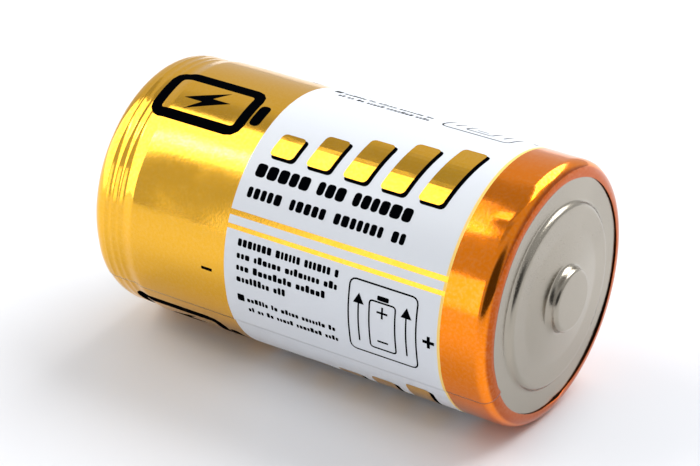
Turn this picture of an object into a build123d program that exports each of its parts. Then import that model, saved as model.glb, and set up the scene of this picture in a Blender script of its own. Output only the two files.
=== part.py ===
"""Size D alkaline cell (IEC LR20), built as the real cell is built.

Frame: origin at the centre of the negative contact face, +X along the axis to the positive
contact, +Z up.  The cell lies on its side.  Every piece is a solid of revolution about X, so its
profile is drawn as (distance along the axis, radius) in the XY plane.
"""
from build123d import *
import os

os.makedirs("parts", exist_ok=True)

# ---------------------------------------------------------------- driving sizes, millimetres
cell_length = 61.0
cell_radius = 16.6
fit_gap = 0.02

label_thickness = 0.14
can_wall = 0.25
neck_step = 0.32
neck_end = 6.1
shoulder_end = 8.0

crimp_height = 0.94
crimp_corner = 2.3
fold_edge_negative = 13.6
crimp_edge = 13.95

flange_drop = 2.35
flange_corner = 1.4
fold_edge_positive = 14.63
plateau_step = 0.7
plateau_slope = 0.5
plateau_radius = 11.3
cone_radius = 8.4
cone_rise = 0.45
pip_radius = 3.9
pip_draft = 0.2

cap_thickness = 0.4
cap_face_radius = 11.4
cap_step = 2.0
cap_radius = 14.75
vent_hole_radius = 0.45
vent_hole_circle = 13.0
vent_hole_count = 3
cap_edge_end = 4.5

nail_radius = 1.15
nail_length = 43.0
nail_head_radius = 3.0
nail_head_thickness = 0.85
nail_point_length = 1.6
nail_point_radius = 0.35

pellet_count = 4
pellet_height = 11.4
pellet_inner_radius = 10.4
pellet_bevel = 0.4
separator_ply = 0.16
separator_start = 6.5
gel_start = 11.5

washer_thickness = 0.5
washer_hole_radius = 1.2
washer_hole_circle = 9.0
washer_hole_count = 4

hub_radius = 3.6
hub_length = 2.6
web_thickness = 0.9
web_rise = 0.4
web_rise_radius = 4.8
vent_ring_thickness = 0.25
vent_ring_inner = 5.4
vent_ring_outer = 6.4
vent_ring_slope = 0.6
rim_gap = 0.24
sealant_start = 2.0

# ---------------------------------------------------------------- sizes that follow
can_radius = cell_radius - label_thickness - fit_gap
can_inside = can_radius - can_wall
neck_radius = can_radius - neck_step
neck_inside = neck_radius - can_wall
label_gap = label_thickness + fit_gap

lip_face = crimp_height + label_gap
flange_face = cell_length - flange_drop
flange_inside = flange_face - can_wall
plateau_face = flange_face + plateau_step
pip_base = plateau_face + cone_rise

# ---------------------------------------------------------------- printed film wrap
with BuildPart() as label_film:
    with BuildSketch(Plane.XY):
        with BuildLine():
            FilletPolyline(
                (crimp_height, fold_edge_negative),
                (crimp_height, neck_radius + label_gap),
                (neck_end, neck_radius + label_gap),
                (shoulder_end, cell_radius),
                (flange_face + label_gap, cell_radius),
                (flange_face + label_gap, fold_edge_positive),
                radius=[crimp_corner, 2.5, 2.5, flange_corner + label_gap],
            )
            offset(amount=label_thickness, side=Side.RIGHT)
        make_face()
    revolve(axis=Axis.X)

# ---------------------------------------------------------------- drawn steel can with its pip
with BuildPart() as can:
    with BuildSketch(Plane.XY):
        with BuildLine():
            FilletPolyline(
                (lip_face, crimp_edge),
                (lip_face, neck_radius),
                (neck_end, neck_radius),
                (shoulder_end, can_radius),
                (flange_face, can_radius),
                (flange_face, plateau_radius + plateau_slope),
                (plateau_face, plateau_radius),
                (plateau_face, cone_radius),
                (pip_base, pip_radius + pip_draft),
                (cell_length, pip_radius),
                (cell_length, 0),
                radius=[crimp_corner - label_gap, 2.5, 2.5, flange_corner, 0.6, 0.8, 5.0, 0.7, 0.5],
            )
            offset(amount=can_wall, side=Side.RIGHT)
        make_face()
    revolve(axis=Axis.X)

# ---------------------------------------------------------------- pressed cathode rings
pellets = []
for index in range(pellet_count):
    seat = flange_inside - fit_gap - index * (pellet_height + fit_gap)
    with BuildPart() as pellet:
        with BuildSketch(Plane.XY):
            with Locations((seat - pellet_height / 2, 0)):
                Rectangle(pellet_height, can_inside - 0.03, align=(Align.CENTER, Align.MIN))
            with Locations((seat - pellet_height / 2, 0)):
                Rectangle(
                    pellet_height, pellet_inner_radius, align=(Align.CENTER, Align.MIN), mode=Mode.SUBTRACT
                )
        revolve(axis=Axis.X)
        outer_edges = pellet.edges().filter_by(GeomType.CIRCLE).group_by(SortBy.RADIUS)[-1]
        seat_edge = outer_edges.sort_by(Axis.X)[-1]
        free_edge = outer_edges.sort_by(Axis.X)[0]
        chamfer(free_edge, pellet_bevel)
        seat_bevel = flange_corner - can_wall if index == 0 else pellet_bevel
        chamfer(seat_edge, seat_bevel)
    pellets.append(pellet)

# ---------------------------------------------------------------- separator: two plies and a disc
separator_end = flange_inside - fit_gap
separator_length = separator_end - separator_start

with BuildPart() as separator_outer:
    with BuildSketch(Plane.YZ.offset(separator_start)):
        Circle(pellet_inner_radius - fit_gap)
        Circle(pellet_inner_radius - fit_gap - separator_ply, mode=Mode.SUBTRACT)
    extrude(amount=separator_length)

inner_ply_radius = pellet_inner_radius - 2 * fit_gap - separator_ply
with BuildPart() as separator_inner:
    with BuildSketch(Plane.YZ.offset(separator_start)):
        Circle(inner_ply_radius)
        Circle(inner_ply_radius - separator_ply, mode=Mode.SUBTRACT)
    extrude(amount=separator_length)

with BuildPart() as separator_end_disc:
    with BuildSketch(Plane.YZ.offset(flange_inside)):
        Circle(plateau_radius - 0.3)
    extrude(amount=plateau_step - 0.1)

# ---------------------------------------------------------------- collector nail
nail_start = cap_thickness + fit_gap
with BuildPart() as collector_nail:
    with BuildSketch(Plane.XY):
        with BuildLine():
            Polyline(
                (nail_start, 0),
                (nail_start, nail_head_radius),
                (nail_start + nail_head_thickness, nail_head_radius),
                (nail_start + nail_head_thickness, nail_radius),
                (nail_start + nail_length - nail_point_length, nail_radius),
                (nail_start + nail_length, nail_point_radius),
                (nail_start + nail_length, 0),
                close=True,
            )
        make_face()
    revolve(axis=Axis.X)

# ---------------------------------------------------------------- zinc gel round the nail
gel_radius = inner_ply_radius - separator_ply - fit_gap
nail_tip = nail_start + nail_length
with BuildPart() as anode_gel:
    with BuildSketch(Plane.XY):
        with BuildLine():
            Polyline(
                (gel_start, nail_radius + fit_gap),
                (gel_start, gel_radius),
                (separator_end - fit_gap, gel_radius),
                (separator_end - fit_gap, 0),
                (nail_tip + 0.1, 0),
                (nail_tip + 0.1, nail_radius + fit_gap),
                close=True,
            )
        make_face()
    revolve(axis=Axis.X)

# ---------------------------------------------------------------- pressed negative cap
with BuildPart() as negative_cap:
    with BuildSketch(Plane.XY):
        with BuildLine():
            FilletPolyline(
                (0, 0),
                (0, cap_face_radius),
                (cap_step, cap_face_radius + 0.5),
                (cap_step, cap_radius),
                (cap_edge_end, cap_radius),
                radius=[0.8, 0.5, 0.7],
            )
            offset(amount=cap_thickness, side=Side.RIGHT)
        make_face()
    revolve(axis=Axis.X)
    with BuildSketch(Plane.YZ.offset(cap_step - 0.5)):
        with PolarLocations(vent_hole_circle, vent_hole_count, start_angle=90):
            Circle(vent_hole_radius)
    extrude(amount=cap_thickness + 1.0, mode=Mode.SUBTRACT)

# ---------------------------------------------------------------- steel washer behind the cap
washer_start = cap_edge_end + fit_gap
with BuildPart() as support_washer:
    with BuildSketch(Plane.YZ.offset(washer_start)):
        Circle(cap_radius)
        Circle(hub_radius + 0.1, mode=Mode.SUBTRACT)
        with PolarLocations(washer_hole_circle, washer_hole_count):
            Circle(washer_hole_radius, mode=Mode.SUBTRACT)
    extrude(amount=washer_thickness)

# ---------------------------------------------------------------- nylon seal with its thin vent ring
web_face = washer_start + washer_thickness + fit_gap
web_back = web_face + web_thickness
rim_radius = neck_inside - rim_gap
lip_inside = lip_face + can_wall + fit_gap
with BuildPart() as seal_gasket:
    with BuildSketch(Plane.XY) as seal_section:
        with BuildLine():
            Polyline(
                (nail_start + nail_head_thickness + fit_gap, nail_radius + fit_gap),
                (nail_start + nail_head_thickness + fit_gap, hub_radius),
                (web_face, hub_radius),
                (web_face, cap_radius + fit_gap),
                (cap_step - fit_gap, cap_radius + fit_gap),
                (cap_step - fit_gap, fold_edge_negative - 0.1),
                (lip_inside, fold_edge_negative - 0.1),
                (lip_inside, rim_radius),
                (web_back, rim_radius),
                (web_back, vent_ring_outer + vent_ring_slope),
                (web_face + vent_ring_thickness, vent_ring_outer),
                (web_face + vent_ring_thickness, vent_ring_inner),
                (web_back + web_rise, web_rise_radius),
                (web_back + hub_length, hub_radius),
                (web_back + hub_length, nail_radius + fit_gap),
                close=True,
            )
        make_face()
        rim_corner = seal_section.vertices().sort_by_distance((lip_inside, rim_radius))[0]
        fillet(rim_corner, crimp_corner - label_gap - can_wall - rim_gap)
    revolve(axis=Axis.X)

# ---------------------------------------------------------------- bitumen ring round the seal
with BuildPart() as sealant_ring:
    with BuildSketch(Plane.YZ.offset(lip_inside + sealant_start)):
        Circle(neck_inside - fit_gap)
        Circle(rim_radius + fit_gap, mode=Mode.SUBTRACT)
    extrude(amount=web_back - lip_inside - sealant_start)

# ---------------------------------------------------------------- labels and STEP files
pieces = {
    "label_film": label_film,
    "can": can,
    "separator_outer": separator_outer,
    "separator_inner": separator_inner,
    "separator_end_disc": separator_end_disc,
    "collector_nail": collector_nail,
    "anode_gel": anode_gel,
    "negative_cap": negative_cap,
    "support_washer": support_washer,
    "seal_gasket": seal_gasket,
    "sealant_ring": sealant_ring,
}
for index, pellet in enumerate(pellets, start=1):
    pieces[f"cathode_ring_{index}"] = pellet

for name, piece in pieces.items():
    piece.part.label = name
    export_step(piece.part, f"parts/{name}.step")
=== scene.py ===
"""Size D cell lying on its side: printed film wrap, nickel ends, and the studio round it.

Lengths are in metres in the mesh and in millimetres in the tables of sizes; `mm` turns one into the
other.  Along is the distance from the negative contact face; around is the angle in degrees above
the horizontal on the cell's front (-Y) side, growing upwards.
"""
import math
import random

import bmesh
import bpy
from mathutils import Matrix, Vector, noise


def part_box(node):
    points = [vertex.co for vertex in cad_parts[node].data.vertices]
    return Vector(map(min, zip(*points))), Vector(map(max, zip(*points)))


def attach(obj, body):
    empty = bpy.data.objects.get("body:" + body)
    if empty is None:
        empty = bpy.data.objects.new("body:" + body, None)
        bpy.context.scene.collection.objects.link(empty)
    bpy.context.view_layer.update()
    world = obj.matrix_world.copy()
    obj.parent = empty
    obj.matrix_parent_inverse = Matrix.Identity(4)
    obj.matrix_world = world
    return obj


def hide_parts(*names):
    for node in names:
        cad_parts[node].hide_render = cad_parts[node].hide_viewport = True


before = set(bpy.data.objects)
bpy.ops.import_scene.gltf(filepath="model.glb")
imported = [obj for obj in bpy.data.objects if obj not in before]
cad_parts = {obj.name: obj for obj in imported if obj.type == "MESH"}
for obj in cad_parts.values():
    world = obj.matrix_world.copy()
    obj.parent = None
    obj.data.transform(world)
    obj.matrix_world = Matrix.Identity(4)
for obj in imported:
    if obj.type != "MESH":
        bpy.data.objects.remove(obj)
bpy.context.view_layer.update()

mm = 0.001
full_turn = 360.0

# ------------------------------------------------------------------ sizes taken from the frame
film_low, film_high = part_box("label_film")

cell_radius = film_high.z / mm
film_start = film_low.x / mm
film_end = film_high.x / mm
floor_level = film_low.z

# ------------------------------------------------------------------ film wrap, millimetres and degrees
film_thickness = 0.08
outer_room = 0.03
neck_step = 0.30
film_radius = cell_radius - outer_room
neck_radius = film_radius - neck_step
fold_edge_negative = 13.6
fold_edge_positive = 14.63
crimp_corner = 2.3
shoulder_corner = 1.56
neck_end = 6.1
neck_slope_end = 8.0
seam_around = -28.1
seam_overlap = 10.0
seam_blend = 9.0
glue_gap = 0.02
seam_lift = film_thickness + glue_gap
fold_reach = 1.1
lip_reach = 1.0

# Steps along the section: lip corner, neck, slope up to the body, body, shoulder, folded edge.
lip_steps = 16
neck_steps = 26
slope_steps = 16
body_steps = 22
shoulder_steps = 18
fold_steps = 5
column_step = 1.1

# Rolled ridges on the neck: distance along, width and height.
neck_ridges = ((3.3, 0.33, 0.050), (4.55, 0.34, 0.062), (5.55, 0.27, 0.045))

# Waviness of the two folded edges: seed and height of each wave, and the size of its turns.
wave_scale = 2.2
fold_wave_seed = 3.0
fold_wave = 0.10
lip_wave_seed = 9.0
lip_wave = 0.16
proud_wave_seed = 5.0
proud_wave = 0.07
fold_proud = 0.04

# Where the overlap's corner draws back at the fold, and one pucker in the fold.
seam_notch = 0.22
seam_notch_width = 3.5
pucker_around = 266.0
pucker_width = 4.0
pucker_height = 0.12

# ------------------------------------------------------------------ print layout, millimetres
white_start = 22.06
white_end = 52.7
white_blur = 0.05
copy_count = 3
ink_lift = 0.012
slice_height = 0.6
neck_slice = 0.3
neck_slice_room = 0.5

# Points of the flat artwork nearer than this, in metres, become one.
weld_distance = 1e-7

# Bare gold stripes across the white panel: angle within one copy, and width.
gold_stripes = ((26.0, 0.72), (20.1, 0.6))
stripe_blur = 0.12

# The warm line at the white panel's end: how far before the end it starts and is full.
line_start = 0.45
line_full = 0.3


def arc_mm(around):
    """Distance up the wrap from the front horizontal line to that angle."""
    return math.radians(around) * cell_radius


# ------------------------------------------------------------------ small node helpers
def new_material(name):
    material = bpy.data.materials.new(name)
    material.use_nodes = True
    tree = material.node_tree
    shader = tree.nodes["Principled BSDF"]
    return material, tree, shader


def add_node(tree, kind, **settings):
    made = tree.nodes.new(kind)
    for key, value in settings.items():
        setattr(made, key, value)
    return made


def math_node(tree, operation, a, b=None, clamp=False):
    made = add_node(tree, "ShaderNodeMath", operation=operation, use_clamp=clamp)
    for slot, value in zip(made.inputs, (a, b)):
        if value is None:
            continue
        if isinstance(value, (int, float)):
            slot.default_value = value
        else:
            tree.links.new(value, slot)
    return made.outputs[0]


def map_range(tree, value, low, high, to_low=0.0, to_high=1.0, smooth=True):
    made = add_node(tree, "ShaderNodeMapRange")
    made.interpolation_type = "SMOOTHSTEP" if smooth else "LINEAR"
    tree.links.new(value, made.inputs["Value"])
    made.inputs["From Min"].default_value = low
    made.inputs["From Max"].default_value = high
    made.inputs["To Min"].default_value = to_low
    made.inputs["To Max"].default_value = to_high
    return made.outputs["Result"]


def mix_colour(tree, share, first, second):
    made = add_node(tree, "ShaderNodeMix", data_type="RGBA")
    if isinstance(share, (int, float)):
        made.inputs["Factor"].default_value = share
    else:
        tree.links.new(share, made.inputs["Factor"])
    for key, value in (("A", first), ("B", second)):
        socket = next(s for s in made.inputs if s.name == key and s.type == "RGBA")
        if isinstance(value, tuple):
            socket.default_value = (*value, 1.0)
        else:
            tree.links.new(value, socket)
    return next(s for s in made.outputs if s.type == "RGBA")


def noise_texture(tree, scale, detail=2.0, roughness=0.5, stretch=(1.0, 1.0, 1.0)):
    """Noise in object space; scale is in cycles per metre and stretch slows it along an axis."""
    place = add_node(tree, "ShaderNodeTexCoord").outputs["Object"]
    mapping = add_node(tree, "ShaderNodeMapping")
    tree.links.new(place, mapping.inputs["Vector"])
    mapping.inputs["Scale"].default_value = stretch
    made = add_node(tree, "ShaderNodeTexNoise")
    tree.links.new(mapping.outputs["Vector"], made.inputs["Vector"])
    made.inputs["Scale"].default_value = scale
    made.inputs["Detail"].default_value = detail
    made.inputs["Roughness"].default_value = roughness
    return made.outputs["Fac"]


def axis_distance(tree):
    """Distance from the cell's axis in metres."""
    place = add_node(tree, "ShaderNodeTexCoord").outputs["Object"]
    across = add_node(tree, "ShaderNodeVectorMath", operation="MULTIPLY")
    tree.links.new(place, across.inputs[0])
    across.inputs[1].default_value = (0.0, 1.0, 1.0)
    length = add_node(tree, "ShaderNodeVectorMath", operation="LENGTH")
    tree.links.new(across.outputs["Vector"], length.inputs[0])
    return length.outputs["Value"]


def add_bump(tree, shader, height, strength, distance):
    bump = add_node(tree, "ShaderNodeBump")
    bump.inputs["Strength"].default_value = strength
    bump.inputs["Distance"].default_value = distance
    tree.links.new(height, bump.inputs["Height"])
    tree.links.new(bump.outputs["Normal"], shader.inputs["Normal"])


# ------------------------------------------------------------------ materials
gold_tone = (0.84, 0.44, 0.036)
orange_tone = (0.96, 0.24, 0.008)
white_tone = (0.67, 0.695, 0.74)
warm_line = (0.92, 0.62, 0.16)
# Painted shade: a darker orange laid on the film's fold over the positive end, standing in for the shade
# there.
fold_shade_tone = (0.46, 0.085, 0.006)
grain_tone = (1.0, 0.86, 0.55)
# Where that painted shade starts, as a distance from the axis in mm, and how far it blends outwards and
# inwards.
fold_shade_start = 15.9
fold_shade_blend_out = 0.25
fold_shade_blend_in = 0.15

foil_roughness = (0.11, 0.17)
white_roughness = 0.22
white_specular = 0.35
foil_bump = 0.35
foil_bump_depth = 0.00012


def foil_grain(tree):
    return noise_texture(tree, 2600.0, detail=3.0)


def foil_ripple(tree):
    return noise_texture(tree, 260.0, detail=2.0, stretch=(0.35, 1.0, 1.0))


def foil_tone(tree, grain, tone):
    """The foil's colour with a faint grain."""
    share = map_range(tree, grain, 0.35, 0.75, 0.0, 0.06)
    return mix_colour(tree, share, tone, grain_tone)


def foil_shine(tree):
    """The foil's roughness, uneven in broad smudges."""
    smudge = noise_texture(tree, 170.0, detail=4.0, roughness=0.6)
    return map_range(tree, smudge, 0.35, 0.7, *foil_roughness)


def film_material():
    """Metallised film: gold, then a white printed panel with two gold stripes, then orange, with painted
    shade darkening its fold over the positive end.
    """
    material, tree, shader = new_material("printed_film")
    along = add_node(tree, "ShaderNodeAttribute", attribute_name="along").outputs["Fac"]
    around = add_node(tree, "ShaderNodeAttribute", attribute_name="around").outputs["Fac"]

    past_gold = map_range(tree, along, white_start - white_blur, white_start + white_blur)
    past_white = map_range(tree, along, white_end - white_blur, white_end + white_blur)
    panel = math_node(tree, "SUBTRACT", past_gold, past_white, clamp=True)

    turned = math_node(tree, "ADD", around, 2 * full_turn)
    in_copy = math_node(tree, "MODULO", turned, full_turn / copy_count)
    stripes = None
    for centre, width in gold_stripes:
        away = math_node(tree, "ABSOLUTE", math_node(tree, "SUBTRACT", in_copy, centre))
        half = math.degrees(width / 2 / cell_radius)
        line = map_range(tree, away, half + stripe_blur, half - stripe_blur)
        stripes = line if stripes is None else math_node(tree, "MAXIMUM", stripes, line)
    white = math_node(tree, "SUBTRACT", panel, math_node(tree, "MULTIPLY", panel, stripes), clamp=True)

    # Painted shade: the orange darkens on its fold over the positive end, growing towards the axis.
    body_side = (fold_shade_start + fold_shade_blend_out) * mm
    edge_side = (fold_shade_start - fold_shade_blend_in) * mm
    fold = map_range(tree, axis_distance(tree), body_side, edge_side)
    orange_with_fold_shade = mix_colour(tree, fold, orange_tone, fold_shade_tone)
    metal_tone = mix_colour(tree, past_white, gold_tone, orange_with_fold_shade)
    past_line = map_range(tree, along, white_end - line_start, white_end - line_full)
    ink_tone = mix_colour(tree, past_line, white_tone, warm_line)
    grain = foil_grain(tree)
    colour = mix_colour(tree, white, foil_tone(tree, grain, metal_tone), ink_tone)
    tree.links.new(colour, shader.inputs["Base Color"])

    metal = map_range(tree, white, 0.0, 1.0, 1.0, 0.0, smooth=False)
    tree.links.new(metal, shader.inputs["Metallic"])

    matt = math_node(tree, "MULTIPLY", white, white_roughness)
    tree.links.new(math_node(tree, "ADD", foil_shine(tree), matt), shader.inputs["Roughness"])
    shader.inputs["Specular IOR Level"].default_value = white_specular

    fine = math_node(tree, "MULTIPLY", grain, 0.10)
    height = math_node(tree, "ADD", foil_ripple(tree), fine)
    add_bump(tree, shader, height, foil_bump, foil_bump_depth)
    return material


def ink_material(name, tone, roughness):
    """Matt ink with a fine speckle and no mirror reflection."""
    material, tree, shader = new_material(name)
    speckle = noise_texture(tree, 3000.0, detail=2.0)
    lighter = tuple(c * 1.6 for c in tone)
    colour = mix_colour(tree, map_range(tree, speckle, 0.4, 0.8, 0.0, 0.5), tone, lighter)
    tree.links.new(colour, shader.inputs["Base Color"])
    shine = map_range(tree, speckle, 0.3, 0.7, roughness - 0.04, roughness + 0.05)
    tree.links.new(shine, shader.inputs["Roughness"])
    shader.inputs["Specular IOR Level"].default_value = 0.0
    return material


def gold_window_material():
    """The bare metallised film that shows where the white ink is left out."""
    material, tree, shader = new_material("gold_window")
    colour = foil_tone(tree, foil_grain(tree), gold_tone)
    tree.links.new(colour, shader.inputs["Base Color"])
    shader.inputs["Metallic"].default_value = 1.0
    tree.links.new(foil_shine(tree), shader.inputs["Roughness"])
    add_bump(tree, shader, foil_ripple(tree), foil_bump, foil_bump_depth)
    return material


def plated_material(name, tone, base_roughness):
    """Nickel plate on pressed steel: satin, with drawing marks round the axis and fine pits."""
    material, tree, shader = new_material(name)
    rings_per_metre = 9000.0
    rings = add_node(tree, "ShaderNodeTexNoise", noise_dimensions="1D")
    across = math_node(tree, "MULTIPLY", axis_distance(tree), rings_per_metre)
    tree.links.new(across, rings.inputs["W"])
    rings.inputs["Scale"].default_value = 1.0
    rings.inputs["Detail"].default_value = 3.0

    blotch = noise_texture(tree, 90.0, detail=3.0, roughness=0.5)
    pits = noise_texture(tree, 5200.0, detail=2.0)
    darker = tuple(c * 0.93 for c in tone)
    colour = mix_colour(tree, map_range(tree, blotch, 0.3, 0.75), darker, tone)
    tree.links.new(colour, shader.inputs["Base Color"])
    shader.inputs["Metallic"].default_value = 1.0
    rough = map_range(tree, blotch, 0.3, 0.7, base_roughness + 0.03, base_roughness - 0.02)
    fleck = map_range(tree, pits, 0.45, 0.8, 0.0, 0.06)
    tree.links.new(math_node(tree, "ADD", rough, fleck), shader.inputs["Roughness"])
    lathe = math_node(tree, "MULTIPLY", rings.outputs["Fac"], 0.5)
    add_bump(tree, shader, math_node(tree, "ADD", lathe, pits), 0.12, 0.00004)
    return material


def plain_material(name, tone, roughness, metallic=0.0, scale=900.0, depth=0.00005):
    """One mottled tone; scale is the mottle's, in cycles per metre, and depth its bump in metres."""
    material, tree, shader = new_material(name)
    mottle = noise_texture(tree, scale, detail=4.0, roughness=0.6)
    darker = tuple(c * 0.7 for c in tone)
    colour = mix_colour(tree, map_range(tree, mottle, 0.3, 0.7), darker, tone)
    tree.links.new(colour, shader.inputs["Base Color"])
    shader.inputs["Metallic"].default_value = metallic
    shine = map_range(tree, mottle, 0.3, 0.7, max(0.05, roughness - 0.08), min(1.0, roughness + 0.08))
    tree.links.new(shine, shader.inputs["Roughness"])
    add_bump(tree, shader, mottle, 0.4, depth)
    return material


def dress(node_name, material):
    """Gives a CAD node its finish without touching its mesh."""
    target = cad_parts[node_name]
    if not target.material_slots:
        target.data.materials.append(material)
    for slot in target.material_slots:
        slot.material = material


film_finish = film_material()
black_ink = ink_material("black_ink", (0.0008, 0.0011, 0.0018), 0.42)
gold_window = gold_window_material()
nickel = plated_material("nickel_plate", (0.385, 0.348, 0.287), 0.21)
cap_nickel = plated_material("cap_nickel_plate", (0.425, 0.39, 0.325), 0.21)
brass = plain_material("drawn_brass", (0.78, 0.52, 0.20), 0.28, metallic=1.0)
washer_steel = plain_material("pressed_steel", (0.55, 0.55, 0.56), 0.38, metallic=1.0)
nylon = plain_material("moulded_nylon", (0.80, 0.77, 0.66), 0.42)
bitumen = plain_material("bitumen", (0.012, 0.011, 0.010), 0.35)
paper = plain_material("non_woven_paper", (0.84, 0.82, 0.77), 0.9, scale=2400.0, depth=0.0001)
black_mix = plain_material("pressed_black_mix", (0.035, 0.035, 0.038), 0.8, scale=1800.0, depth=0.0001)
grey_gel = plain_material("zinc_gel", (0.32, 0.34, 0.37), 0.45, metallic=0.3, scale=1500.0, depth=0.0001)

finishes = {
    "can": nickel,
    "negative_cap": cap_nickel,
    "collector_nail": brass,
    "support_washer": washer_steel,
    "seal_gasket": nylon,
    "sealant_ring": bitumen,
    "separator_outer": paper,
    "separator_inner": paper,
    "separator_end_disc": paper,
    "anode_gel": grey_gel,
}
for node_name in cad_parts:
    if node_name.startswith("cathode_ring"):
        finishes[node_name] = black_mix
for node_name, finish in finishes.items():
    dress(node_name, finish)


# ------------------------------------------------------------------ film wrap
def smooth_step(value):
    value = min(1.0, max(0.0, value))
    return value * value * (3 - 2 * value)


def arc_points(centre_along, centre_radius, radius, start, end, count):
    """Points round a corner of the section, by angle from +along towards +radius, in degrees."""
    points = []
    for step in range(count + 1):
        angle = math.radians(start + (end - start) * step / count)
        points.append((centre_along + radius * math.cos(angle), centre_radius + radius * math.sin(angle)))
    return points


def even_points(start, end, count):
    """Points of a straight stretch of the section, without its two ends."""
    points = []
    for step in range(1, count):
        share = step / count
        points.append(tuple(a + (b - a) * share for a, b in zip(start, end)))
    return points


def neck_ridge(along):
    """Height of the rolled ridges that show through the film on the crimped neck."""
    height = 0.0
    for centre, width, rise in neck_ridges:
        height += rise * math.exp(-(((along - centre) / width) ** 2))
    return height


def film_section():
    """The wrap's outer line from the negative fold edge to the positive one, with the print's own
    distance along: equal to the distance along the cell on the straight body."""
    neck_centre = (film_start + crimp_corner, neck_radius - crimp_corner)
    end_centre = (film_end - shoulder_corner, film_radius - shoulder_corner)
    line = [(film_start, fold_edge_negative)]
    line += even_points((film_start, fold_edge_negative), (film_start, neck_centre[1]), 2)
    line += arc_points(*neck_centre, crimp_corner, 180, 90, lip_steps)
    neck_line = even_points((neck_centre[0], neck_radius), (neck_end, neck_radius), neck_steps)
    line += [(x, r + neck_ridge(x)) for x, r in neck_line]
    for step in range(slope_steps + 1):
        share = step / slope_steps
        rise = (film_radius - neck_radius) * smooth_step(share)
        line.append((neck_end + (neck_slope_end - neck_end) * share, neck_radius + rise))
    line += even_points((neck_slope_end, film_radius), (end_centre[0], film_radius), body_steps)
    line += arc_points(*end_centre, shoulder_corner, 90, 0, shoulder_steps)
    line += even_points((film_end, end_centre[1]), (film_end, fold_edge_positive), fold_steps)
    line.append((film_end, fold_edge_positive))

    body_index = next(i for i, (x, _) in enumerate(line) if x >= neck_slope_end)
    along = [0.0] * len(line)
    along[body_index] = line[body_index][0]
    for i in range(body_index + 1, len(line)):
        along[i] = along[i - 1] + math.dist(line[i], line[i - 1])
    for i in range(body_index - 1, -1, -1):
        along[i] = along[i + 1] - math.dist(line[i], line[i + 1])
    return line, along


def crease(along, around, middle, direction, length, width):
    """Height share of one crease line: its middle is (along, around), its direction in degrees."""
    dx = along - middle[0]
    dy = arc_mm(around - middle[1])
    turn = math.radians(direction)
    on_line = dx * math.cos(turn) + dy * math.sin(turn)
    off_line = -dx * math.sin(turn) + dy * math.cos(turn)
    return math.exp(-((on_line / length) ** 2) - (off_line / width) ** 2)


# Creases on the orange shoulder: middle (along, around), direction, length, width and height.
shoulder_creases = (
    ((57.6, 58.0), 68.0, 2.6, 0.22, 0.075),
    ((58.1, 66.0), 75.0, 2.2, 0.18, 0.055),
    ((57.0, 53.0), 60.0, 1.6, 0.25, -0.050),
    ((57.9, 201.0), 70.0, 2.4, 0.24, 0.060),
    ((57.7, 282.0), 110.0, 2.0, 0.22, 0.055),
    ((57.8, 130.0), 100.0, 1.7, 0.20, 0.040),
)


def edge_wave(around, seed):
    """Slow, irregular waviness of a cut edge, from -1 to 1."""
    turn = math.radians(around)
    return noise.noise(Vector((wave_scale * math.cos(turn), wave_scale * math.sin(turn), seed)))


def build_film():
    """The wrap as one sheet round the cell: its end lies over its start at the glued overlap."""
    line, along = film_section()
    sweep = full_turn + seam_overlap
    columns = int(sweep / column_step)
    mesh = bpy.data.meshes.new("label_wrap")
    build = bmesh.new()
    along_layer = build.verts.layers.float.new("along")
    around_layer = build.verts.layers.float.new("around")
    rows = []
    last = len(line) - 1
    for column in range(columns + 1):
        swept = sweep * column / columns
        around = seam_around + swept
        lift = seam_lift * (1.0 - smooth_step((swept - seam_overlap) / seam_blend))
        row = []
        for i, (x, r) in enumerate(line):
            fold_share = smooth_step((along[i] - (along[last] - fold_reach)) / fold_reach)
            lip_share = smooth_step(((along[0] + lip_reach) - along[i]) / lip_reach)
            rise = lift * (1.0 - 0.5 * fold_share)
            for middle, direction, length, width, height in shoulder_creases:
                rise += height * crease(along[i], around, middle, direction, length, width)
            tuck = fold_wave * edge_wave(around, fold_wave_seed)
            tuck += seam_notch * math.exp(-((swept / seam_notch_width) ** 2))
            inward = fold_share * tuck + lip_share * lip_wave * edge_wave(around, lip_wave_seed)
            proud = fold_share * (fold_proud + proud_wave * edge_wave(around, proud_wave_seed))
            pucker = math.exp(-(((around - pucker_around) / pucker_width) ** 2))
            proud += fold_share * pucker_height * pucker
            radius = r + rise * (1.0 - fold_share) * (1.0 - lip_share) - inward
            place = x + proud + rise * fold_share - rise * lip_share * 0.5
            turn = math.radians(around)
            vert = build.verts.new((place * mm, -radius * math.cos(turn) * mm, radius * math.sin(turn) * mm))
            vert[along_layer] = along[i]
            vert[around_layer] = around
            row.append(vert)
        rows.append(row)
    for first, second in zip(rows, rows[1:]):
        for i in range(last):
            build.faces.new((first[i], first[i + 1], second[i + 1], second[i]))
    for face in build.faces:
        face.smooth = True
    build.normal_update()
    middle = rows[columns // 2][last // 2]
    outward = Vector((0.0, middle.co.y, middle.co.z))
    if middle.normal.dot(outward) < 0:
        bmesh.ops.reverse_faces(build, faces=build.faces)
    build.to_mesh(mesh)
    build.free()
    sheet = bpy.data.objects.new("label_wrap", mesh)
    bpy.context.scene.collection.objects.link(sheet)
    thicken = sheet.modifiers.new("film_thickness", "SOLIDIFY")
    thicken.thickness = film_thickness * mm
    thicken.offset = -1.0
    mesh.materials.append(film_finish)
    return sheet


label_wrap = build_film()
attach(label_wrap, "root")
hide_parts("label_film")


# ------------------------------------------------------------------ print outlines, flat, millimetres
corner_step = 30
smallest_corner = 0.02
line_corner = 0.05


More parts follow.
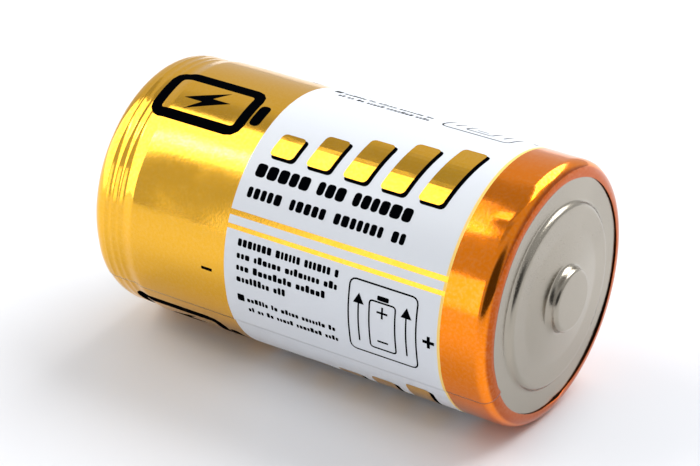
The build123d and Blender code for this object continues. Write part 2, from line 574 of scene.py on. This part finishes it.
def rounded_block(low_x, low_y, high_x, high_y, corner, slant=0.0):
    """Outline of a block with rounded corners; slant shifts its top along by that share of height."""
    points = []
    corner = min(corner, (high_x - low_x) / 2, (high_y - low_y) / 2)
    for cx, cy, start in (
        (high_x - corner, high_y - corner, 0),
        (low_x + corner, high_y - corner, 90),
        (low_x + corner, low_y + corner, 180),
        (high_x - corner, low_y + corner, 270),
    ):
        for step in range(90 // corner_step + 1):
            angle = math.radians(start + corner_step * step)
            x = cx + corner * math.cos(angle)
            y = cy + corner * math.sin(angle)
            points.append((x + slant * (y - low_y), y))
    return points


def ring_quads(outer, inner):
    """Quads between two outlines with the same number of points."""
    count = len(outer)
    quads = []
    for i in range(count):
        j = (i + 1) % count
        quads.append([outer[i], outer[j], inner[j], inner[i]])
    return quads


def frame_outline(low_x, low_y, high_x, high_y, corner, line):
    outer = rounded_block(low_x, low_y, high_x, high_y, corner)
    inner_corner = max(smallest_corner, corner - line)
    inner = rounded_block(low_x + line, low_y + line, high_x - line, high_y - line, inner_corner)
    return ring_quads(outer, inner)


def plus_sign(centre_x, centre_y, size, line):
    a, b = size / 2, line / 2
    upper = ((a, b), (b, b), (b, a), (-b, a), (-b, b), (-a, b))
    corners = upper + tuple((-x, -y) for x, y in upper)
    return [(centre_x + x, centre_y + y) for x, y in corners]


# A row's words: fewest and most blocks, narrowest and widest block, share of tall blocks in a low
# row, height of its low ones, and corner radius as a share of the block's width.
word_length = (2, 8)
block_width = (0.65, 1.15)
tall_share = 0.28
low_height = 0.72
block_corner = 0.32


def word_row(seed, low_x, high_x, around, height, letter, gap, word_gap, lowercase=False):
    """A row of small blocks grouped like words: it has a text row's rhythm and says nothing."""
    draw = random.Random(seed)
    middle = arc_mm(around)
    blocks = []
    x = low_x
    while x < high_x - letter * 0.5:
        for _ in range(draw.randint(*word_length)):
            width = letter * draw.uniform(*block_width)
            if x + width > high_x:
                x = high_x
                break
            tall = height if not lowercase or draw.random() < tall_share else height * low_height
            low = middle - height / 2
            blocks.append(rounded_block(x, low, x + width, low + tall, letter * block_corner))
            x += width + gap
        x += word_gap
    return blocks


def battery_mark():
    """Bold sign of a cell with a bolt through it, seen side on."""
    low_x, high_x = 5.0, 18.9
    low_y, high_y = arc_mm(56.0), arc_mm(84.5)
    line = 1.45
    corner = 1.9
    shapes = frame_outline(low_x, low_y, high_x, high_y, corner, line)
    middle = (low_y + high_y) / 2
    pole_start, pole_end = high_x + 0.25, high_x + 1.75
    pole_half = 1.75
    pole_corner = 0.6
    shapes.append(rounded_block(pole_start, middle - pole_half, pole_end, middle + pole_half, pole_corner))
    bolt = ((2.3, 2.15), (-3.2, -0.45), (-0.55, -0.45), (-2.3, -2.15), (3.2, 0.45), (0.55, 0.45))
    centre_x = (low_x + high_x) / 2
    upper = [(centre_x + x, middle + y) for x, y in (bolt[0], bolt[1], bolt[2], bolt[5])]
    lower = [(centre_x + x, middle + y) for x, y in (bolt[2], bolt[3], bolt[4], bolt[5])]
    shapes += [upper, lower]
    return shapes


bar_count = 5
bar_start = 24.2
bar_pitch = 5.25
bar_width = 3.3
bar_foot = 53.5
bar_head = 65.0
bar_head_step = 5.2
bar_corner = 0.55
bar_slant = 0.12
shadow_shift = (0.42, -0.35)
shadow_grow = 0.10


def bar_shapes(shift_x, shift_y, grow):
    """Five rising charge bars, shifted and grown all round."""
    shapes = []
    for bar in range(bar_count):
        low_x = bar_start + bar_pitch * bar
        low_y = arc_mm(bar_foot)
        high_y = arc_mm(bar_head + bar_head_step * bar)
        low = (low_x + shift_x - grow, low_y + shift_y - grow)
        high = (low_x + bar_width + shift_x + grow, high_y + shift_y + grow)
        shapes.append(rounded_block(*low, *high, bar_corner, bar_slant))
    return shapes


def polarity_sign():
    """Thin-line sign: a standing cell in a frame, with its two poles marked."""
    low_x, high_x = 40.0, 49.6
    low_y, high_y = arc_mm(-18.5), arc_mm(15.5)
    line = 0.22
    frame_corner = 0.9
    cell_half, cell_foot, cell_head, cell_corner = 1.9, 1.2, 2.0, 0.5
    cap_half, cap_low, cap_high, cap_corner = 0.8, 1.9, 1.3, 0.15
    plus_drop, plus_across, plus_stroke = 3.4, 1.5, 0.26
    minus_out, minus_low, minus_high = 0.75, 2.3, 2.56
    arrow_out, arrow_foot, arrow_neck = 3.3, 1.6, 3.0
    tip_drop, tip_half, tip_length = 1.7, 0.75, 1.35

    shapes = frame_outline(low_x, low_y, high_x, high_y, frame_corner, line)
    x = (low_x + high_x) / 2
    cell = (x - cell_half, low_y + cell_foot, x + cell_half, high_y - cell_head)
    shapes += frame_outline(*cell, cell_corner, line)
    shapes.append(rounded_block(x - cap_half, high_y - cap_low, x + cap_half, high_y - cap_high, cap_corner))
    shapes.append(plus_sign(x, high_y - plus_drop, plus_across, plus_stroke))
    minus = (x - minus_out, low_y + minus_low, x + minus_out, low_y + minus_high)
    shapes.append(rounded_block(*minus, line_corner))
    tip = high_y - tip_drop
    for side in (-1, 1):
        shaft = x + side * arrow_out
        ends = (low_y + arrow_foot, high_y - arrow_neck)
        shapes.append(rounded_block(shaft - line / 2, ends[0], shaft + line / 2, ends[1], line_corner))
        barb = tip - tip_length
        shapes.append([(shaft - tip_half, barb), (shaft + tip_half, barb), (shaft, tip)])
    return shapes


# Heading rows: seed, start, end and angle, then block height and width, gap, and gap between words.
# Body rows: seed, end, angle, and whether some blocks are low. Note rows: seed and angle.
heading_rows = (
    (11, 23.6, 46.0, 45.8, 1.75, 1.32, 0.22, 0.95),
    (12, 23.6, 46.8, 35.8, 1.35, 0.86, 0.24, 1.05),
)
body_rows = ((20, 38.6, 14.4, False), (21, 39.0, 9.0, True), (22, 37.0, 3.6, True), (23, 31.5, -1.8, True))
body_row_start = 23.9
body_row_blocks = (0.95, 0.56, 0.15, 0.5)
note_rows = ((30, -11.5), (31, -16.6))
note_row_ends = (25.2, 38.4)
note_row_blocks = (0.74, 0.44, 0.12, 0.4)

# The mark before the note rows: start and end, and its two angles. Then the two pole signs.
note_mark = (23.8, 24.8)
note_mark_around = (-13.2, -9.8)
note_mark_corner = 0.15
poles_around = -2.5
plus_place = 51.2
plus_size = 1.6
plus_line = 0.42
minus_start, minus_end = 18.6, 20.2
minus_half = 0.2


def black_shapes():
    """Everything printed in black, but for the charge bars' shadows."""
    shapes = battery_mark()
    for row in heading_rows:
        shapes += word_row(*row)
    for seed, end, around, lowercase in body_rows:
        shapes += word_row(seed, body_row_start, end, around, *body_row_blocks, lowercase=lowercase)
    for seed, around in note_rows:
        shapes += word_row(seed, *note_row_ends, around, *note_row_blocks, lowercase=True)
    mark_low, mark_high = (arc_mm(around) for around in note_mark_around)
    shapes.append(rounded_block(note_mark[0], mark_low, note_mark[1], mark_high, note_mark_corner))
    shapes += polarity_sign()
    poles = arc_mm(poles_around)
    shapes.append(plus_sign(plus_place, poles, plus_size, plus_line))
    shapes.append(rounded_block(minus_start, poles - minus_half, minus_end, poles + minus_half, line_corner))
    return shapes


# ------------------------------------------------------------------ wrapping the print on the cell
def wrap_tree():
    """Geometry nodes: bends flat artwork round the cell, repeats it evenly round the axis and lays it
    on the film, so that it follows the neck, the ridges and the overlap."""
    tree = bpy.data.node_groups.new("wrap_print", "GeometryNodeTree")
    inputs = {
        "Geometry": "NodeSocketGeometry",
        "Radius": "NodeSocketFloat",
        "Lift": "NodeSocketFloat",
        "Copies": "NodeSocketInt",
        "Film": "NodeSocketObject",
        "Ink": "NodeSocketMaterial",
    }
    for name, kind in inputs.items():
        tree.interface.new_socket(name, in_out="INPUT", socket_type=kind)
    tree.interface.new_socket("Geometry", in_out="OUTPUT", socket_type="NodeSocketGeometry")
    cast_height = 0.1  # where the rays start outside the film, as a share of its radius
    nodes, links = tree.nodes, tree.links
    entry = nodes.new("NodeGroupInput")
    leave = nodes.new("NodeGroupOutput")

    def link(source, target):
        links.new(source, target)

    def scalar(operation, first, second=None):
        made = nodes.new("ShaderNodeMath")
        made.operation = operation
        for socket, value in zip(made.inputs, (first, second)):
            if isinstance(value, (int, float)):
                socket.default_value = value
            elif value is not None:
                link(value, socket)
        return made.outputs[0]

    def vector(operation, first, second=None, scale=None):
        made = nodes.new("ShaderNodeVectorMath")
        made.operation = operation
        for socket, value in zip(made.inputs, (first, second)):
            if isinstance(value, tuple):
                socket.default_value = value
            elif value is not None:
                link(value, socket)
        if isinstance(scale, (int, float)):
            made.inputs["Scale"].default_value = scale
        elif scale is not None:
            link(scale, made.inputs["Scale"])
        return made.outputs[0]

    position = nodes.new("GeometryNodeInputPosition").outputs[0]
    split = nodes.new("ShaderNodeSeparateXYZ")
    link(position, split.inputs[0])
    radius = entry.outputs["Radius"]
    turn = scalar("DIVIDE", split.outputs["Y"], radius)
    bent = nodes.new("ShaderNodeCombineXYZ")
    link(split.outputs["X"], bent.inputs["X"])
    link(scalar("MULTIPLY", scalar("MULTIPLY", scalar("COSINE", turn), radius), -1.0), bent.inputs["Y"])
    link(scalar("MULTIPLY", scalar("SINE", turn), radius), bent.inputs["Z"])
    place = nodes.new("GeometryNodeSetPosition")
    link(entry.outputs["Geometry"], place.inputs["Geometry"])
    link(bent.outputs[0], place.inputs["Position"])

    line = nodes.new("GeometryNodeMeshLine")
    line.mode = "OFFSET"
    line.inputs["Offset"].default_value = (0.0, 0.0, 0.0)
    link(entry.outputs["Copies"], line.inputs["Count"])
    index = nodes.new("GeometryNodeInputIndex")
    spin = nodes.new("ShaderNodeCombineXYZ")
    share = scalar("DIVIDE", index.outputs[0], entry.outputs["Copies"])
    link(scalar("MULTIPLY", share, 2 * math.pi), spin.inputs["X"])
    scatter = nodes.new("GeometryNodeInstanceOnPoints")
    link(line.outputs["Mesh"], scatter.inputs["Points"])
    link(place.outputs["Geometry"], scatter.inputs["Instance"])
    link(spin.outputs[0], scatter.inputs["Rotation"])
    real = nodes.new("GeometryNodeRealizeInstances")
    link(scatter.outputs["Instances"], real.inputs["Geometry"])

    film = nodes.new("GeometryNodeObjectInfo")
    link(entry.outputs["Film"], film.inputs["Object"])
    here = nodes.new("GeometryNodeInputPosition").outputs[0]
    outward = vector("NORMALIZE", vector("MULTIPLY", here, (0.0, 1.0, 1.0)))
    source = vector("ADD", here, vector("SCALE", outward, scale=scalar("MULTIPLY", radius, cast_height)))
    cast = nodes.new("GeometryNodeRaycast")
    link(film.outputs["Geometry"], cast.inputs["Target Geometry"])
    link(source, cast.inputs["Source Position"])
    link(vector("SCALE", outward, scale=-1.0), cast.inputs["Ray Direction"])
    link(radius, cast.inputs["Ray Length"])
    laid = vector("ADD", cast.outputs["Hit Position"], vector("SCALE", outward, scale=entry.outputs["Lift"]))
    lay = nodes.new("GeometryNodeSetPosition")
    link(real.outputs["Geometry"], lay.inputs["Geometry"])
    link(cast.outputs["Is Hit"], lay.inputs["Selection"])
    link(laid, lay.inputs["Position"])
    paint = nodes.new("GeometryNodeSetMaterial")
    link(lay.outputs["Geometry"], paint.inputs["Geometry"])
    link(entry.outputs["Ink"], paint.inputs["Material"])
    link(paint.outputs["Geometry"], leave.inputs["Geometry"])
    return tree


print_wrap = wrap_tree()


def slice_faces(build, start, end, step, axis):
    """Cuts every face across at even steps along one axis, so that it can bend there."""
    normal = tuple(1.0 if i == axis else 0.0 for i in range(3))
    level = start + step
    while level < end:
        geometry = build.verts[:] + build.edges[:] + build.faces[:]
        place = tuple(level if i == axis else 0.0 for i in range(3))
        bmesh.ops.bisect_plane(build, geom=geometry, plane_co=place, plane_no=normal)
        level += step


def flat_mesh(name, shapes):
    """Flat artwork as faces in the XY plane, cut finely enough to follow the cell."""
    build = bmesh.new()
    for outline in shapes:
        verts = [build.verts.new((x * mm, y * mm, 0.0)) for x, y in outline]
        made = build.faces.new(verts)
        made.normal_update()
        if made.normal.z < 0:
            made.normal_flip()
    bmesh.ops.remove_doubles(build, verts=build.verts, dist=weld_distance)
    bmesh.ops.triangulate(build, faces=build.faces)
    low = [min(v.co[axis] for v in build.verts) for axis in range(2)]
    high = [max(v.co[axis] for v in build.verts) for axis in range(2)]
    slice_faces(build, low[1], high[1], slice_height * mm, 1)
    neck_limit = (neck_slope_end + neck_slice_room) * mm
    slice_faces(build, low[0], min(high[0], neck_limit), neck_slice * mm, 0)
    mesh = bpy.data.meshes.new(name)
    build.to_mesh(mesh)
    build.free()
    return mesh


def print_layer(name, shapes, lift, ink):
    """One printed layer as real thin faces lying on the film, in every copy of the print."""
    flat = bpy.data.objects.new(name + "_flat", flat_mesh(name + "_flat", shapes))
    bpy.context.scene.collection.objects.link(flat)
    wrap = flat.modifiers.new("wrap", "NODES")
    wrap.node_group = print_wrap
    sockets = {s.name: s.identifier for s in print_wrap.interface.items_tree if s.in_out == "INPUT"}
    wrap[sockets["Radius"]] = film_radius * mm
    wrap[sockets["Lift"]] = lift * mm
    wrap[sockets["Copies"]] = copy_count
    wrap[sockets["Film"]] = label_wrap
    wrap[sockets["Ink"]] = ink
    evaluated = flat.evaluated_get(bpy.context.evaluated_depsgraph_get())
    mesh = bpy.data.meshes.new_from_object(evaluated)
    mesh.name = name
    bpy.data.objects.remove(flat)
    if not mesh.materials:
        mesh.materials.append(ink)
    layer = bpy.data.objects.new(name, mesh)
    bpy.context.scene.collection.objects.link(layer)
    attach(layer, "root")


print_layer("black_print", black_shapes(), ink_lift, black_ink)
print_layer("bar_shadows", bar_shapes(*shadow_shift, shadow_grow), ink_lift, black_ink)
print_layer("gold_bars", bar_shapes(0.0, 0.0, 0.0), 2 * ink_lift, gold_window)


# ------------------------------------------------------------------ floor, light and camera
floor_reach = 3.0
floor_tone = (0.74, 0.745, 0.77)
floor_roughness = 0.55


def pale_floor():
    mesh = bpy.data.meshes.new("pale_floor")
    signs = ((-1, -1), (1, -1), (1, 1), (-1, 1))
    corners = [(floor_reach * x, floor_reach * y, floor_level) for x, y in signs]
    mesh.from_pydata(corners, [], [(0, 1, 2, 3)])
    material, tree, shader = new_material("pale_floor")
    shader.inputs["Base Color"].default_value = (*floor_tone, 1.0)
    shader.inputs["Roughness"].default_value = floor_roughness
    mesh.materials.append(material)
    floor = bpy.data.objects.new("pale_floor", mesh)
    bpy.context.scene.collection.objects.link(floor)


pale_floor()


warm_light = (1.0, 0.99, 0.96)
cool_light = (0.98, 0.99, 1.0)


def soft_box(name, place, target, wide, tall, radiance, tone=warm_light):
    """Rectangular soft light at a place in metres; radiance is its brightness seen from any angle."""
    data = bpy.data.lights.new(name, "AREA")
    data.shape = "RECTANGLE"
    data.size = wide
    data.size_y = tall
    data.energy = radiance * math.pi * wide * tall
    data.color = tone
    light = bpy.data.objects.new(name, data)
    light.location = place
    light.rotation_mode = "QUATERNION"
    light.rotation_quaternion = (Vector(target) - Vector(place)).to_track_quat("-Z", "Y")
    bpy.context.scene.collection.objects.link(light)


# Three windows in the walls round the cell, in shares of the distance to a wall, and a key light
# behind it.
wall = 0.9
window_middle = (-wall, -0.44 * wall, 1.05 * wall)
soft_box("window", window_middle, (0.0, window_middle[1], window_middle[2]), 1.10 * wall, 2.1 * wall, 2.6)
core_room = 0.01
core_middle = (-wall + core_room, -0.66 * wall, 1.36 * wall)
soft_box("window_core", core_middle, (0.0, core_middle[1], core_middle[2]), 0.20 * wall, 0.7 * wall, 9.0)
side_turn = math.radians(68.0)
side_middle = Vector((-math.cos(side_turn), -math.sin(side_turn), 0.20)) * wall
soft_box("side_window", side_middle, (0.0, 0.0, side_middle.z), 0.28 * wall, 0.52 * wall, 1.40)
soft_box("back_key", (0.22, 0.60, 0.66), (0.03, 0.0, 0.0), 0.72, 0.66, 6.0, cool_light)


world_tone = (0.95, 0.97, 1.0)
world_level = (0.66, 0.75)
overhead_level = 0.68
camera_side_level = 0.12


def studio_world():
    """Soft room light: even all round, brighter behind, dim overhead and on the camera's side."""
    world = bpy.data.worlds.new("studio")
    world.use_nodes = True
    tree = world.node_tree
    background = tree.nodes["Background"]
    direction = add_node(tree, "ShaderNodeTexCoord").outputs["Generated"]

    def near(centre, start, full):
        """Share from 0 to 1 as a direction comes near a centre; start and full are angles in degrees."""
        dot = add_node(tree, "ShaderNodeVectorMath", operation="DOT_PRODUCT")
        tree.links.new(direction, dot.inputs[0])
        dot.inputs[1].default_value = Vector(centre).normalized()
        low, high = math.cos(math.radians(start)), math.cos(math.radians(full))
        return map_range(tree, dot.outputs["Value"], low, high)

    level = map_range(tree, near((-0.2, 0.9, 0.4), 75.0, 20.0), 0.0, 1.0, *world_level)
    overhead = map_range(tree, near((-0.2, 0.0, 1.0), 36.0, 22.0), 0.0, 1.0, 1.0, overhead_level)
    camera_side = map_range(tree, near((0.66, -0.74, 0.12), 48.0, 26.0), 0.0, 1.0, 1.0, camera_side_level)
    dimmed = math_node(tree, "MULTIPLY", math_node(tree, "MULTIPLY", level, overhead), camera_side)
    tree.links.new(dimmed, background.inputs["Strength"])
    background.inputs["Color"].default_value = (*world_tone, 1.0)
    bpy.context.scene.world = world


camera_place = Vector((181.53, -228.38, 146.72)) * mm
camera_forward = Vector((-0.48890, 0.73358, -0.47206))
camera_right = Vector((0.83213, 0.55457, 0.0))
camera_lens = 128.8
camera_sensor = 36.0
camera_near = 0.01
camera_far = 20.0


def set_camera():
    data = bpy.data.cameras.new("camera")
    data.sensor_width = camera_sensor
    data.lens = camera_lens
    data.clip_start = camera_near
    data.clip_end = camera_far
    camera = bpy.data.objects.new("camera", data)
    forward = camera_forward.normalized()
    right = camera_right.normalized()
    up = right.cross(forward)
    turn = Matrix((right, up, -forward)).transposed()
    camera.rotation_mode = "QUATERNION"
    camera.rotation_quaternion = turn.to_quaternion()
    camera.location = camera_place
    bpy.context.scene.collection.objects.link(camera)
    bpy.context.scene.camera = camera


studio_world()
set_camera()
bpy.context.scene.view_settings.view_transform = "Standard"
